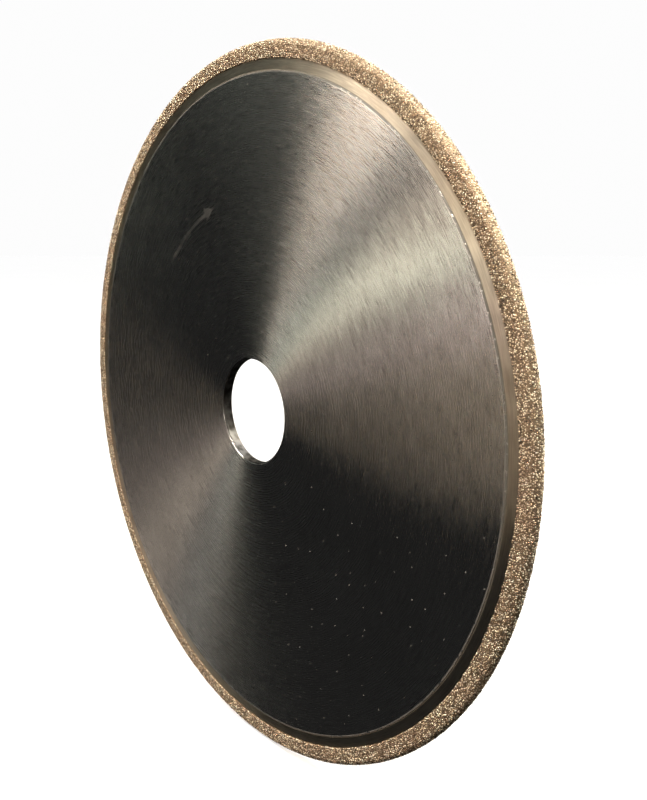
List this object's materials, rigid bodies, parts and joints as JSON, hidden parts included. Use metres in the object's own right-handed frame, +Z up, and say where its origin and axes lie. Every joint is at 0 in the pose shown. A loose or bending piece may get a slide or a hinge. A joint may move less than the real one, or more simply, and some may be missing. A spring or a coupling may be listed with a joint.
{
  "type": "diamond grinding wheel",
  "caption": "Thin steel disc with a plain arbor bore and a nickel-plated diamond grit band over its rounded edge, for grinding and cutting stone or glass.",
  "frame": {"origin": "centre of the arbor bore, midway between the two faces of the steel core, which is also the centre of the wheel", "axes": "+Y along the arbor axis, out of the back face, so the front face looks along -Y; +Z up and +X to the right when the front is faced"},
  "size_m": [0.2, 0.0036, 0.2],
  "materials": {
    "core_steel": "fine circular brushing over both faces, with fine scratches and specks",
    "nickel_undercoat": "smooth satin nickel plate, warm in tone, turned lines showing through",
    "nickel_bond": "dull plated nickel of bronze tone, lumpy round the crystals",
    "diamond_crystals": "glittering pale yellow and bronze crystals, sharp facets, densely set"
  },
  "bodies": {
    "root": {"steel_core": "core_steel", "nickel_undercoat": "nickel_undercoat", "nickel_bond": "nickel_bond", "diamond_layer": "diamond_crystals"}
  },
  "joints": []
}
